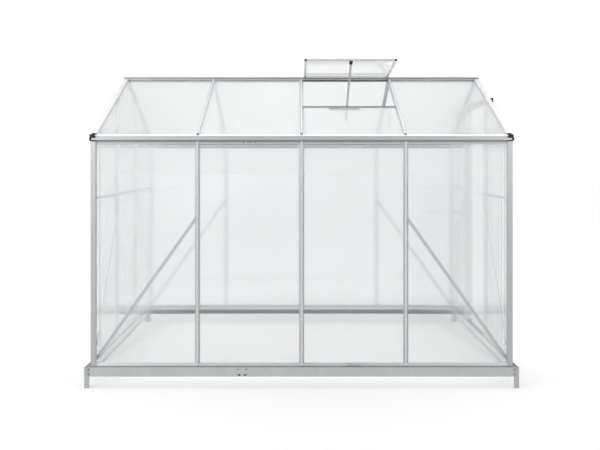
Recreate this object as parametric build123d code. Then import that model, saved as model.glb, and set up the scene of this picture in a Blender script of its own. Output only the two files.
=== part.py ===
"""Hobby greenhouse: extruded aluminium frame, twin-wall sheets, roof vent and sliding door on a steel base.

Millimetres. +X runs along the length, +Y to the back, +Z up. The origin lies on the ground, at the
middle of the footprint. Sections are drawn from each wall's grid line: u outward, w = -u inward.
"""

import math
import os

from build123d import *

# Grid of bays
BAY = 600.0
BAYS_LONG = 4
BAYS_WIDE = 3

# Heights and pitch
LEG_DROP = 66.0
BASE_H = 53.0
WALL_H = 1292.0
EAVE_RISE = 30.0
PITCH = 24.6

# Sheet, metal and fits
SHEET = 4.0
WALL_T = 1.6
TUBE_T = 1.5
STEEL_T = 1.5
FLAT_T = 2.0
CAP_T = 2.5
FIT = 0.3
EDGE = 1.5
JOINT = 0.6

# Glazing bar
FLANGE_W = 28.0
WEB_T = 2.0
NOSE_W = 7.0
NOSE_OUT = 12.0
BEAD_W = 17.0
BEAD_EDGE = 2.0
CHANNEL_W = 14.0
CHANNEL_IN = 15.0
SLOT_W = 7.0

# Corner post and gable rafter
POST_OUT = 13.0
POST_LIP = 4.0
POST_GAP = 0.6
FIN = 10.0
RAFTER_FIN = 12.0
RAFTER_FIN_HEAD = 53.0
RAFTER_FIN_FOOT = 27.0

# Sill
SILL_LIP_IN = 4.4
SILL_LIP_H = 15.0
SILL_FLANGE_H = 25.0

# Eave with its gutter
EAVE_FLANGE_H = 8.0
GUTTER_OUT = 26.0
GUTTER_RISE = 7.5
GUTTER_H = 19.0
GUTTER_LIP = 4.0
DRIP_IN = 2.5
DRIP_H = 9.0
REAR_IN = 4.0
CAP_REACH = 14.0
CAP_SIDE = 4.5
CAP_LAP = 24.0
CAP_HOOK = 7.0
CAP_UP = 41.0
CAP_OUT = 16.0
EAVE_SEAT = 43.0
BAR_GAP = 0.7

# Ridge
RIDGE_SEAT = 22.0
CROWN_HALF = 15.0
CROWN_SHOULDER = 10.0
CROWN_SHOULDER_Z = 15.0
CROWN_TOP_Z = 20.0
HINGE_OUT = 17.1
HINGE_Z = 12.0
BAR_HEAD = 17.0
PANE_HEAD = 8.0

# Base frame and legs
BASE_OUT = 40.0
BASE_IN = 20.0
BASE_LIP = 20.0
BASE_FOOT = 15.0
LEG_W = 29.5

# Braces and gable crossbars
BRACE_W = 19.0
BRACE_END = 11.0
BRACE_LOW = 32.0
BRACE_HIGH = 861.0
GABLE_BRACE_LOW = 113.0
GABLE_BRACE_HIGH = 931.0
BRACE_LAP = 1.0
CROSSBAR_Z = 965.0
CROSSBAR_H = 16.0
CROSSBAR_D = 12.0
CROSSBAR_LAP = 10.0

# Joints in the rails and their plates
BASE_JOINT_X = -340.0
SILL_JOINT_X = 300.0
EAVE_JOINT_X = -300.0
BASE_PLATE_W = 75.0
BASE_PLATE_H = 40.0
RAIL_PLATE_W = 78.0
SILL_PLATE_H = 13.0
EAVE_PLATE_H = 7.0

# Roof vent, standing open
VENT_X0 = 18.0
VENT_X1 = 593.0
VENT_LEN = 530.0
VENT_LIFT = 5.7
VENT_RAIL = 14.0
VENT_T = 12.0
VENT_GROOVE = 8.0
VENT_HINGE_OUT = 17.0
VENT_HINGE_Z = 17.5
VENT_SILL_Y = 480.0
VENT_SILL_OUT = 9.0
VENT_SILL_LAP = 15.0

# Stay that props the vent
STAY_X = 306.0
STAY_SLANT = 23.0
STAY_W = 14.0
STAY_DROP = 26.0
STAY_TAIL = 70.0
STAY_HOLE = 6.0
STAY_PITCH = 24.0
CATCH_X0 = 173.0
CATCH_X1 = 365.0
CATCH_DEEP = 22.0
CATCH_OUT = 7.0
FITTING_W = 20.0
FITTING_T = 10.0

# Door leaf
DOOR_W = 620.0
DOOR_T = 16.0
DOOR_IN = 21.0
DOOR_FOOT = 7.0
DOOR_MID = 778.0
DOOR_RAIL = 20.0
DOOR_SHOE = 28.0
DOOR_FIN = 8.0

# Door track, header, guide and hangers
TRACK_DROP = 177.0
TRACK_H = 28.0
TRACK_W = 28.0
TRACK_SPARE = 10.0
TRACK_PAST = 20.0
TRACK_SLOT = 8.0
HEADER_DROP = 21.0
HEADER_H = 28.0
HANGER_GAP = 6.0
STRAP_W = 25.0
STRAP_FROM_END = (410.0, 150.0)
GUIDE_H = 20.0
GUIDE_FOOT = 9.0
WHEEL_R = 9.0
WHEEL_T = 5.0
WHEEL_GAP = 1.0
AXLE_R = 2.5
HANGER_T = 4.0
HANGER_W = 30.0
HANGER_Y = 230.0

# Worked-out places
HALF_L = BAY * BAYS_LONG / 2
HALF_W = BAY * BAYS_WIDE / 2
SIN = math.sin(math.radians(PITCH))
COS = math.cos(math.radians(PITCH))
TAN = SIN / COS
BASE_TOP = LEG_DROP + BASE_H
FLOOR_Z = BASE_TOP + WALL_T
EAVE_Z = BASE_TOP + WALL_H
APEX = EAVE_Z + EAVE_RISE + HALF_W * TAN
SEAT = SHEET / 2
SHEET_DROP = CHANNEL_IN + WALL_T + EDGE + FIT
END_X = HALF_L + POST_OUT
HOOD_TOP = SEAT + FIT + WALL_T
HOOD_HEAD = (HALF_W - CAP_REACH - HOOD_TOP * SIN) / COS
BAR_FOOT = HOOD_HEAD - BAR_GAP
LIFT_SIN = math.sin(math.radians(VENT_LIFT))
LIFT_COS = math.cos(math.radians(VENT_LIFT))
TRACK_Z = APEX - BASE_TOP - TRACK_DROP
DOOR_TOP = TRACK_Z - HANGER_GAP
HEADER_Z = TRACK_Z - HEADER_DROP
TRACK_FRONT = DOOR_W / 2 + TRACK_SPARE
TRACK_BACK = BAY + DOOR_W / 2 + TRACK_PAST
BARS_LONG = [BAY * i - HALF_L for i in range(1, BAYS_LONG)]
BARS_WIDE = [BAY * i - HALF_W for i in range(1, BAYS_WIDE)]
FRONT, RIGHT, BACK, LEFT = 0, 90, 180, 270
AX, AY, AZ = (1, 0, 0), (0, 1, 0), (0, 0, 1)


def poly(*points):
    """Flat section from its corner points."""
    return make_face(Polyline(*points, close=True))


def rect(a0, a1, b0, b1):
    """Upright rectangle of a section."""
    return poly((a0, b0), (a1, b0), (a1, b1), (a0, b1))


def wall_rect(half, u0, u1, z0, z1):
    """Rectangle of a rail's section, u measured outward from the wall's grid line."""
    return rect(-half - u1, -half - u0, z0, z1)


def slope(s, v):
    """Point on the front slope: s down from the ridge, v outward from the sheet's middle."""
    return (-(s * COS + v * SIN), APEX - s * SIN + v * COS)


def slab(s0, s1, v0, v1):
    """Rectangle of a section, lying on the front slope."""
    return poly(slope(s0, v0), slope(s1, v0), slope(s1, v1), slope(s0, v1))


def vent_point(d, n):
    """Point on the open vent: d out from its hinge, n up from its sheet's middle."""
    y = -VENT_HINGE_OUT - d * LIFT_COS + n * LIFT_SIN
    return (y, APEX + VENT_HINGE_Z + d * LIFT_SIN + n * LIFT_COS)


def vent_slab(d0, d1, n0, n1):
    """Rectangle of a section, lying on the open vent."""
    return poly(vent_point(d0, n0), vent_point(d1, n0), vent_point(d1, n1), vent_point(d0, n1))


def along_x(section, x0, x1):
    """Section in Y and Z, drawn out along X."""
    return extrude(Plane((x0, 0, 0), AY, AX) * section, amount=x1 - x0, dir=AX)


def upright(section, x, half, z0, z1):
    """Section in X and inward depth, stood up on the front wall's grid line."""
    return extrude(Plane((x, -half, z0), AX, AZ) * section, amount=z1 - z0, dir=AZ)


def up_slope(section, x, s0, s1):
    """Section in X and inward depth, laid on the front slope from s1 up to s0."""
    rise = (0, COS, SIN)
    return extrude(Plane((x, *slope(s1, 0)), AX, rise) * section, amount=s1 - s0, dir=rise)


def block(x0, x1, y0, y1, z0, z1):
    """Plain block between two corners."""
    middle = ((x0 + x1) / 2, (y0 + y1) / 2, (z0 + z1) / 2)
    return Pos(*middle) * Box(x1 - x0, y1 - y0, z1 - z0)


def turned(part, side):
    """Front-wall piece carried round to another side."""
    return Rot(0, 0, side) * part


def both_ends(part):
    """Piece and its mirror image at the other end of the length."""
    return [part, mirror(part, about=Plane.YZ)]


def four_corners(part):
    """Piece and its mirror images at all four corners."""
    return [turn for end in both_ends(part) for turn in (end, mirror(end, about=Plane.XZ))]


def gable_pair(part):
    """Piece of the right gable and its mirror image on the same gable."""
    return [part, mirror(part, about=Plane.XZ)]


def cut_at(rail, x):
    """Rail parted by a narrow butt joint."""
    reach = HALF_L * 2
    return rail - block(x - JOINT / 2, x + JOINT / 2, -reach, reach, 0, reach)


def save(name, pieces):
    """One file for a node, whose pieces stay separate solids."""
    solids = [solid for piece in pieces for solid in piece.solids()]
    export_step(solids[0] if len(solids) == 1 else Compound(solids), os.path.join("parts", name + ".step"))


# Sections of the extrusions


def bar_section():
    """Glazing bar: bead whose lips hold the sheets, web, inner flange and bolt channel."""
    lip = -SEAT - FIT
    half = [
        (NOSE_W / 2, -NOSE_OUT),
        (BEAD_W / 2, lip - BEAD_EDGE),
        (BEAD_W / 2, lip),
        (WEB_T / 2, lip),
        (WEB_T / 2, SEAT),
        (FLANGE_W / 2, SEAT),
        (FLANGE_W / 2, SEAT + WALL_T),
        (CHANNEL_W / 2, SEAT + WALL_T),
        (CHANNEL_W / 2, CHANNEL_IN),
        (SLOT_W / 2, CHANNEL_IN),
        (SLOT_W / 2, CHANNEL_IN - WALL_T),
        (CHANNEL_W / 2 - WALL_T, CHANNEL_IN - WALL_T),
        (CHANNEL_W / 2 - WALL_T, SEAT + WALL_T),
    ]
    wall = WALL_T * BEAD_W / NOSE_OUT
    hollow = [(NOSE_W / 2 - WALL_T / 2, WALL_T - NOSE_OUT), (BEAD_W / 2 - wall, lip - WALL_T)]
    return mirrored_section(half) - mirrored_section(hollow)


def mirrored_section(half):
    """Section from the corner points of its right half."""
    return poly(*half, *[(-a, w) for a, w in reversed(half)])


def tube_section(a0, a1, w0, w1):
    """Thin-walled rectangular tube."""
    return rect(a0, a1, w0, w1) - rect(a0 + TUBE_T, a1 - TUBE_T, w0 + TUBE_T, w1 - TUBE_T)


def eave_section():
    """Gutter, rear wall with a hood over the roof sheets, and bar seat."""
    foot = (HALF_W + REAR_IN + WALL_T + CHANNEL_IN * SIN) / COS
    hood_foot = (HALF_W + REAR_IN + WALL_T - HOOD_TOP * SIN) / COS
    hood_z = slope(hood_foot, HOOD_TOP)[1]
    floor, top = EAVE_Z + GUTTER_RISE, EAVE_Z + GUTTER_H
    out = -HALF_W - GUTTER_OUT
    section = wall_rect(HALF_W, -CHANNEL_IN - WALL_T, REAR_IN + WALL_T, EAVE_Z, EAVE_Z + WALL_T)
    section += wall_rect(HALF_W, REAR_IN, GUTTER_OUT, floor, floor + WALL_T)
    section += rect(out, out + WALL_T, floor, top)
    section += rect(out, out + GUTTER_LIP, top - WALL_T, top)
    section += wall_rect(HALF_W, REAR_IN, REAR_IN + WALL_T, EAVE_Z, hood_z)
    section += slab(foot - EAVE_SEAT, foot, -CHANNEL_IN - WALL_T, -CHANNEL_IN)
    return section + slab(HOOD_HEAD, hood_foot, SEAT + FIT, HOOD_TOP)


def ridge_half(depth):
    """Front half of the ridge: seat at a depth under the sheets, steep crown wall and hinge fin."""
    under = APEX - (CROWN_HALF - WALL_T) * TAN + (SEAT + FIT) / COS
    shoulder, top = APEX + CROWN_SHOULDER_Z, APEX + CROWN_TOP_Z
    crown = poly(
        (-CROWN_HALF, under),
        (-CROWN_SHOULDER, shoulder),
        (0, top),
        (0, top - FLAT_T),
        (WALL_T - CROWN_SHOULDER, shoulder - WALL_T / 2),
        (WALL_T - CROWN_HALF, under),
    )
    seat = poly(
        slope(RIDGE_SEAT, -depth),
        slope(RIDGE_SEAT, -depth - WALL_T),
        (0, APEX - (depth + WALL_T) / COS),
        (0, APEX - depth / COS),
    )
    web = rect(-WALL_T / 2, 0, APEX - (depth + WALL_T / 2) / COS, top - FLAT_T / 2)
    fin = rect(-HINGE_OUT, -CROWN_SHOULDER, APEX + HINGE_Z, APEX + HINGE_Z + WALL_T)
    return crown + seat + web + fin


# Pieces of the frame


def base_rail(half, length):
    """Folded steel rail with mitred ends, under one wall."""
    section = wall_rect(half, BASE_OUT - STEEL_T, BASE_OUT, LEG_DROP, BASE_TOP)
    section += wall_rect(half, -BASE_IN, BASE_OUT, BASE_TOP - STEEL_T, BASE_TOP)
    section += wall_rect(half, -BASE_IN, STEEL_T - BASE_IN, BASE_TOP - BASE_LIP, BASE_TOP)
    section += wall_rect(half, BASE_OUT - BASE_FOOT, BASE_OUT, LEG_DROP, LEG_DROP + STEEL_T)
    rail = along_x(section, -length - BASE_OUT, length + BASE_OUT)
    outer, inner = length + BASE_OUT - FIT / 2, length - BASE_IN - FIT / 2
    plan = poly(
        (-outer, -half - BASE_OUT),
        (outer, -half - BASE_OUT),
        (inner, BASE_IN - half),
        (-inner, BASE_IN - half),
    )
    return rail & upright(plan, 0, 0, 0, EAVE_Z)


def ground_leg():
    """Steel angle round a corner of the base, down to the ground."""
    x, y = HALF_L + BASE_OUT, HALF_W + BASE_OUT
    face = block(x - LEG_W + FLAT_T, x + FLAT_T, -y - FLAT_T, -y, 0, BASE_TOP)
    return face + block(x, x + FLAT_T, -y - FLAT_T, -y + LEG_W - FLAT_T, 0, BASE_TOP)


def sill(half, length, flange):
    """Sill rail: floor, inner flange for the bars, outer lip before the sheets."""
    lip_out = SILL_LIP_IN + WALL_T
    section = wall_rect(half, -CHANNEL_IN - WALL_T, lip_out, BASE_TOP, FLOOR_Z)
    section += wall_rect(half, -CHANNEL_IN - WALL_T, -CHANNEL_IN, BASE_TOP, BASE_TOP + flange)
    section += wall_rect(half, SILL_LIP_IN, lip_out, BASE_TOP, BASE_TOP + SILL_LIP_H)
    return along_x(section, -length, length)


def corner_post():
    """Hollow corner post, grooved for the long wall's sheet, with a fin behind the gable's."""
    tube = tube_section(-CHANNEL_IN, POST_OUT, -POST_OUT, CHANNEL_IN)
    post = upright(tube, HALF_L, HALF_W, BASE_TOP, EAVE_Z)
    fins = post_groove() + rect(-SEAT - WALL_T, -SEAT, CHANNEL_IN, CHANNEL_IN + FIN)
    return post + upright(fins, HALF_L, HALF_W, FLOOR_Z, EAVE_Z - DRIP_H - FIT)


def post_groove():
    """Lips before and behind the edge of a sheet, on the inner side of a post or rafter."""
    edge = (-CHANNEL_IN - POST_LIP, -CHANNEL_IN)
    return rect(*edge, SEAT, SEAT + WALL_T) + rect(*edge, -SEAT - FIT - WALL_T, -SEAT - FIT)


def notch(x, half, u0, u1, z0, z1):
    """Room in a bar's web for a rail's lip."""
    return block(x - BEAD_W, x + BEAD_W, -half - u1 - FIT, -half - u0 + FIT, z0, z1)


def wall_bar(x, half, top):
    """Glazing bar standing on the sill's floor, notched over its lip."""
    bar = upright(bar_section(), x, half, FLOOR_Z, top)
    return bar - notch(x, half, SILL_LIP_IN, SILL_LIP_IN + WALL_T, BASE_TOP, BASE_TOP + SILL_LIP_H + FIT)


def long_wall_bar(x):
    """Bar of the front wall, notched at the eave's drip edge too."""
    bar = wall_bar(x, HALF_W, EAVE_Z)
    return bar - notch(x, HALF_W, DRIP_IN, DRIP_IN + WALL_T, EAVE_Z - DRIP_H - FIT, EAVE_Z)


def under_roof(drop):
    """Everything below the roof, down to a depth under the middle of its sheets."""
    low = APEX - HALF_W * TAN - drop / COS
    shape = poly((-HALF_W, 0), (HALF_W, 0), (HALF_W, low), (0, APEX - drop / COS), (-HALF_W, low))
    return along_x(shape, -END_X, END_X)


def gable_bar(y):
    """Bar of the right gable, cut to the slope under the rafters."""
    return turned(wall_bar(y, HALF_L, APEX), RIGHT) & under_roof(CHANNEL_IN + FIT)


def gable_rafter():
    """Hollow rafter at the right end of the front slope, grooved for the roof's sheet, with a fin behind the gable's."""
    section = tube_section(-CHANNEL_IN, POST_OUT, -NOSE_OUT, CHANNEL_IN) + post_groove()
    rafter = up_slope(section, HALF_L, BAR_HEAD, BAR_FOOT)
    fin = rect(-SEAT - WALL_T, -SEAT, CHANNEL_IN, CHANNEL_IN + RAFTER_FIN)
    fin = up_slope(fin, HALF_L, BAR_HEAD + RAFTER_FIN_HEAD, BAR_FOOT - RAFTER_FIN_FOOT)
    room = FLANGE_W / 2 + FIT
    y = -BAY / 2
    return rafter + (fin - block(HALF_L - BAY, HALF_L + BAY, y - room, y + room, 0, APEX))


def strip_between(half, low, high):
    """Flat strip inside a wall, between two points given along the wall and up."""
    run = (high[0] - low[0], high[1] - low[1])
    length = math.hypot(*run)
    across = (BRACE_W / 2 * -run[1] / length, BRACE_W / 2 * run[0] / length)
    shape = poly(
        (low[0] + across[0], low[1] + across[1]),
        (high[0] + across[0], high[1] + across[1]),
        (high[0] - across[0], high[1] - across[1]),
        (low[0] - across[0], low[1] - across[1]),
    )
    inner = CHANNEL_IN + FLAT_T - half
    return extrude(Plane((0, inner, 0), AX, (0, -1, 0)) * shape, amount=FLAT_T, dir=(0, -1, 0))


def wall_brace():
    """Brace in the right end bay of the front wall."""
    low = (HALF_L - BRACE_END, BASE_TOP + BRACE_LOW)
    return strip_between(HALF_W, low, (HALF_L - BAY + BRACE_LAP, BASE_TOP + BRACE_HIGH))


def gable_brace():
    """Brace in the back bay of the right gable."""
    low = (HALF_W - BRACE_END, BASE_TOP + GABLE_BRACE_LOW)
    high = (BAY / 2 + BRACE_LAP, BASE_TOP + GABLE_BRACE_HIGH)
    return turned(strip_between(HALF_L, low, high), RIGHT)


def crossbar(y0, y1):
    """Angle across the right gable, inside its bars."""
    low = BASE_TOP + CROSSBAR_Z - CROSSBAR_H / 2
    high = low + CROSSBAR_H
    section = wall_rect(HALF_L, -CHANNEL_IN - WALL_T, -CHANNEL_IN, low, high)
    section += wall_rect(HALF_L, -CHANNEL_IN - CROSSBAR_D, -CHANNEL_IN, high - WALL_T, high)
    return turned(along_x(section, y0, y1), RIGHT)


def eave():
    """Eave over the front wall, with an inner flange and a drip edge between the corner posts."""
    flange = wall_rect(HALF_W, -CHANNEL_IN - WALL_T, -CHANNEL_IN, EAVE_Z - EAVE_FLANGE_H, EAVE_Z)
    drip = wall_rect(HALF_W, DRIP_IN, DRIP_IN + WALL_T, EAVE_Z - DRIP_H, EAVE_Z)
    inner = HALF_L - CHANNEL_IN
    rail = along_x(eave_section(), -END_X, END_X)
    return rail + along_x(flange, -inner, inner) + along_x(drip, -inner, inner)


def eave_cap():
    """Moulded cap over the right end of the front eave, hooked round its gutter and up before its hood."""
    hood = HALF_W - CAP_REACH
    top = slope((hood - (SEAT + FIT) * SIN) / COS, SEAT + FIT + WALL_T)
    rear, out = REAR_IN + WALL_T, GUTTER_OUT + FIT + CAP_T
    floor, lip, high = EAVE_Z + GUTTER_RISE - FIT, EAVE_Z + GUTTER_H + FIT, EAVE_Z + CAP_UP
    face = poly((-hood, EAVE_Z), (-HALF_W - rear, EAVE_Z), (-HALF_W - rear, high), (-hood, top[1]))
    face += wall_rect(HALF_W, rear, out, floor - CAP_T, lip + CAP_T)
    face += wall_rect(HALF_W, rear, CAP_OUT, lip, high)
    cap = along_x(face, END_X, END_X + CAP_SIDE)
    cap += along_x(wall_rect(HALF_W, rear + FIT, CAP_OUT, lip, high), END_X - CAP_LAP, END_X)
    cap += along_x(wall_rect(HALF_W, rear + FIT, out, floor - CAP_T, floor), END_X - CAP_LAP, END_X)
    return cap + along_x(wall_rect(HALF_W, out - CAP_T, out, floor - CAP_T, lip), END_X - CAP_HOOK, END_X)


def ridge():
    """Ridge over the full length, its seat under the bars' flanges and, at the ends, under the rafters."""
    half, end = ridge_half(SEAT + WALL_T), ridge_half(CHANNEL_IN)
    inner = HALF_L - CHANNEL_IN - FIT
    rail = along_x(half + mirror(half, about=Plane.YZ), -inner, inner)
    rafter_end = along_x(end + mirror(end, about=Plane.YZ), inner, END_X)
    return rail + rafter_end + mirror(rafter_end, about=Plane.YZ)


def roof_bar(x):
    """Bar of the front slope, its channel cut back at the ridge's seat."""
    channel = slab(-RIDGE_SEAT, RIDGE_SEAT + FIT, -CHANNEL_IN * 2, -SEAT - WALL_T)
    return up_slope(bar_section(), x, BAR_HEAD, BAR_FOOT) - along_x(channel, x - FLANGE_W, x + FLANGE_W)


def ridge_cap():
    """Moulded cap over the right end of the ridge's crown."""
    under = APEX - CROWN_HALF * TAN
    shoulder = APEX + CROWN_SHOULDER_Z
    face = poly(
        (-CROWN_HALF, under),
        (-CROWN_SHOULDER, shoulder),
        (0, APEX + CROWN_TOP_Z),
        (CROWN_SHOULDER, shoulder),
        (CROWN_HALF, under),
    )
    return along_x(face, END_X, END_X + CAP_T)


# Sheets


def sheet_span(x0, x1):
    """Edges of the sheet in a bay, clear of the bars' webs or the end posts."""
    at_bar, at_end = WEB_T / 2 + EDGE, CHANNEL_IN + POST_GAP
    left = x0 + (at_end if x0 == -HALF_L else at_bar)
    return left, x1 - (at_end if x1 == HALF_L else at_bar)


def bays_long():
    """Edges of the sheets along the length, bay by bay."""
    return [sheet_span(BAY * i - HALF_L, BAY * (i + 1) - HALF_L) for i in range(BAYS_LONG)]


def long_wall_sheets():
    """Sheets of the front wall."""
    low, high = FLOOR_Z + EDGE, EAVE_Z - EDGE
    return [block(x0, x1, -HALF_W - SEAT, SEAT - HALF_W, low, high) for x0, x1 in bays_long()]


def gable_sheet(y0, y1, z0):
    """Sheet of the right gable with its top edge under the rafters."""
    blank = block(HALF_L - SEAT, HALF_L + SEAT, y0, y1, z0, APEX)
    return blank & under_roof(SHEET_DROP)


def roof_sheet(span, s0):
    """Sheet of the front slope, down under the eave's hood."""
    foot = (HALF_W + REAR_IN - EDGE - SEAT * SIN) / COS
    return along_x(slab(s0, foot, -SEAT, SEAT), *span)


# Vent


def vent_stile(x0, x1, inward):
    """Side rail of the vent, grooved for its sheet."""
    section = vent_slab(0, VENT_LEN, -VENT_T / 2, VENT_T / 2)
    groove = vent_slab(-VENT_LEN, VENT_LEN * 2, -SEAT - FIT, SEAT + FIT)
    edge = x1 - VENT_GROOVE if inward > 0 else x0
    return along_x(section, x0, x1) - along_x(groove, edge, edge + VENT_GROOVE)


def vent_rail(d0, d1, groove0, groove1):
    """Top or bottom rail of the vent, between its side rails."""
    groove = vent_slab(groove0, groove1, -SEAT - FIT, SEAT + FIT)
    section = vent_slab(d0, d1, -VENT_T / 2, VENT_T / 2) - groove
    return along_x(section, VENT_X0 + VENT_RAIL, VENT_X1 - VENT_RAIL)


def vent_corner(x0):
    """Moulded cap over the lower end of a side rail of the vent."""
    return along_x(vent_slab(VENT_LEN, VENT_LEN + CAP_T, -VENT_T / 2, VENT_T / 2), x0, x0 + VENT_RAIL)


def vent_sheet():
    """Vent's sheet, held in the grooves."""
    inset = VENT_RAIL - VENT_GROOVE + EDGE
    section = vent_slab(inset, VENT_LEN - inset, -SEAT, SEAT)
    return along_x(section, VENT_X0 + inset, VENT_X1 - inset)


def vent_sill():
    """Bar at the foot of the vent's opening, lapped over the sheet below."""
    s = VENT_SILL_Y / COS
    section = slab(s, s + WALL_T, -SEAT, VENT_SILL_OUT)
    section += slab(s, s + VENT_SILL_LAP, SEAT, SEAT + WALL_T)
    end = BEAD_W / 2 + FIT
    return along_x(section, end, BAY - end)


def vent_catch():
    """Plate on the vent's sill that the stay hooks over."""
    s = VENT_SILL_Y / COS
    return along_x(slab(s - WALL_T, s, -CATCH_DEEP, CATCH_OUT), CATCH_X0, CATCH_X1)


def stay_plane():
    """Plane across the head of the stay, facing down along it."""
    y, z = vent_point(VENT_LEN - VENT_RAIL / 2, -STAY_DROP)
    s = VENT_SILL_Y / COS - WALL_T
    edges = (slope(s, -CATCH_DEEP), slope(s, CATCH_OUT))
    low_y, low_z = max(edges, key=lambda edge: (edge[0] - y) / (z - edge[1]))
    head = Vector(STAY_X, y, z)
    foot = Vector(STAY_X - STAY_SLANT, low_y + FLAT_T / 2 + FIT * 2, low_z)
    return Plane(head, AX, foot - head), (foot - head).length


def vent_stay():
    """Flat stay with a row of holes, past the catch plate and on below."""
    plane, reach = stay_plane()
    length = reach + STAY_TAIL
    stay = extrude(plane * Rectangle(STAY_W, FLAT_T), amount=length, dir=plane.z_dir)
    holes = int(length / STAY_PITCH)
    for i in range(holes):
        spot = plane * Pos(0, 0, STAY_PITCH * i + STAY_PITCH / 2)
        stay -= spot * Rot(FRONT + RIGHT, 0, 0) * Cylinder(STAY_HOLE / 2, FLAT_T * 2)
    return stay


def vent_fitting():
    """Moulded fitting under the vent's bottom rail, at the head of the stay."""
    plane, _ = stay_plane()
    up = plane.z_dir * -1
    fitting = extrude(plane * Rectangle(FITTING_W, FITTING_T), amount=STAY_DROP * 2, dir=up)
    above = vent_slab(VENT_LEN / 2, VENT_LEN * 2, -VENT_T / 2, VENT_LEN)
    return fitting - along_x(above, STAY_X - BAY / 2, STAY_X + BAY / 2)


# Door and what carries it


def door_track():
    """Track open below, with a lip on both sides for the wheels."""
    u0, u1 = POST_OUT + FLAT_T, POST_OUT + FLAT_T + TRACK_W
    z0, z1 = BASE_TOP + TRACK_Z, BASE_TOP + TRACK_Z + TRACK_H
    lip = (TRACK_W - TRACK_SLOT) / 2
    section = wall_rect(HALF_L, u0, u0 + WALL_T, z0, z1)
    section += wall_rect(HALF_L, u1 - WALL_T, u1, z0, z1)
    section += wall_rect(HALF_L, u0, u1, z1 - WALL_T, z1)
    section += wall_rect(HALF_L, u0, u0 + lip, z0, z0 + WALL_T)
    section += wall_rect(HALF_L, u1 - lip, u1, z0, z0 + WALL_T)
    return turned(along_x(section, -TRACK_FRONT, TRACK_BACK), RIGHT)


def track_caps():
    """Moulded caps over both ends of the track."""
    u0 = HALF_L + POST_OUT + FLAT_T
    z0 = BASE_TOP + TRACK_Z
    ends = (-TRACK_FRONT - CAP_T, TRACK_BACK)
    return [block(u0, u0 + TRACK_W, y, y + CAP_T, z0, z0 + TRACK_H) for y in ends]


def track_straps():
    """Flat straps that join the back rafter and the track beyond it."""
    track = BASE_TOP + TRACK_Z
    face = HALF_L + POST_OUT
    straps = []
    for from_end in STRAP_FROM_END:
        y = TRACK_BACK - from_end
        rafter = APEX - y * TAN
        low, high = min(rafter, track), max(rafter, track + TRACK_H)
        straps.append(block(face, face + FLAT_T, y - STRAP_W / 2, y + STRAP_W / 2, low, high))
    return straps


def door_header():
    """Channel between the door jambs that the track is fixed to."""
    out = POST_OUT + FLAT_T
    z0, z1 = BASE_TOP + HEADER_Z, BASE_TOP + HEADER_Z + HEADER_H
    section = wall_rect(HALF_L, out - WALL_T, out, z0, z1)
    section += wall_rect(HALF_L, -SEAT, out, z0, z0 + WALL_T)
    section += wall_rect(HALF_L, -SEAT, out, z1 - WALL_T, z1)
    reach = BAY / 2 - BEAD_W / 2 - FIT
    return turned(along_x(section, -reach, reach), RIGHT)


def door_guide():
    """Angle on the base with an upright fin inside the door's shoe."""
    fin = DOOR_IN + DOOR_T / 2 - FLAT_T / 2
    section = wall_rect(HALF_L, fin, fin + FLAT_T, BASE_TOP, BASE_TOP + GUIDE_H)
    section += wall_rect(HALF_L, fin, fin + GUIDE_FOOT, BASE_TOP, FLOOR_Z)
    return turned(along_x(section, -TRACK_FRONT, TRACK_BACK), RIGHT)


def door_heights():
    """Upright ranges of the door's shoe, middle rail and top rail."""
    foot, middle, top = BASE_TOP + DOOR_FOOT, BASE_TOP + DOOR_MID, BASE_TOP + DOOR_TOP
    half = DOOR_RAIL / 2
    return (foot, foot + DOOR_SHOE), (middle - half, middle + half), (top - DOOR_RAIL, top)


def door_stile():
    """Stile at the back edge of the open door, with a fin behind each sheet."""
    shoe, middle, top = door_heights()
    edge = BAY + DOOR_W / 2
    inner = edge - DOOR_RAIL
    stile = upright(tube_section(inner, edge, -DOOR_IN - DOOR_T, -DOOR_IN), 0, HALF_L, shoe[1], top[1])
    face = -DOOR_IN - DOOR_T / 2 + SEAT
    fin = rect(inner - DOOR_FIN, inner, face, face + WALL_T)
    for low, high in ((shoe[1], middle[0]), (middle[1], top[0])):
        stile += upright(fin, 0, HALF_L, low, high)
    return turned(stile, RIGHT)


def door_rail(tube, end, fins):
    """Rail of the open door as far as its ends, with a fin on each side that holds a sheet."""
    reach = DOOR_W / 2 - DOOR_RAIL
    rail = along_x(tube, BAY - end, BAY + end)
    face = DOOR_IN + DOOR_T / 2 - SEAT
    for low, high in fins:
        fin = wall_rect(HALF_L, face - WALL_T, face, low, high)
        rail += along_x(fin, BAY - reach + DOOR_FIN, BAY + reach - DOOR_FIN)
    return turned(rail, RIGHT)


def door_rails():
    """Shoe over the guide that the stiles stand on, middle rail and top rail."""
    shoe, middle, top = door_heights()
    u0, u1 = DOOR_IN, DOOR_IN + DOOR_T
    shoe_wall = wall_rect(HALF_L, u0, u0 + WALL_T, *shoe) + wall_rect(HALF_L, u1 - WALL_T, u1, *shoe)
    shoe_wall += wall_rect(HALF_L, u0, u1, shoe[1] - WALL_T, shoe[1])
    rails = [door_rail(shoe_wall, DOOR_W / 2, [(shoe[1], shoe[1] + DOOR_FIN)])]
    y0, y1 = -HALF_L - u1, -HALF_L - u0
    fins = [(middle[0] - DOOR_FIN, middle[0]), (middle[1], middle[1] + DOOR_FIN)]
    reach = DOOR_W / 2 - DOOR_RAIL
    rails.append(door_rail(tube_section(y0, y1, *middle), reach, fins))
    rails.append(door_rail(tube_section(y0, y1, *top), reach, [(top[0] - DOOR_FIN, top[0])]))
    return rails


def door_sheets():
    """Upper and lower sheet of the door."""
    shoe, middle, top = door_heights()
    reach = DOOR_W / 2 - DOOR_RAIL - EDGE
    x = HALF_L + DOOR_IN + DOOR_T / 2
    ranges = ((shoe[1] + EDGE, middle[0] - EDGE), (middle[1] + EDGE, top[0] - EDGE))
    return [block(x - SEAT, x + SEAT, BAY - reach, BAY + reach, low, high) for low, high in ranges]


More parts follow.
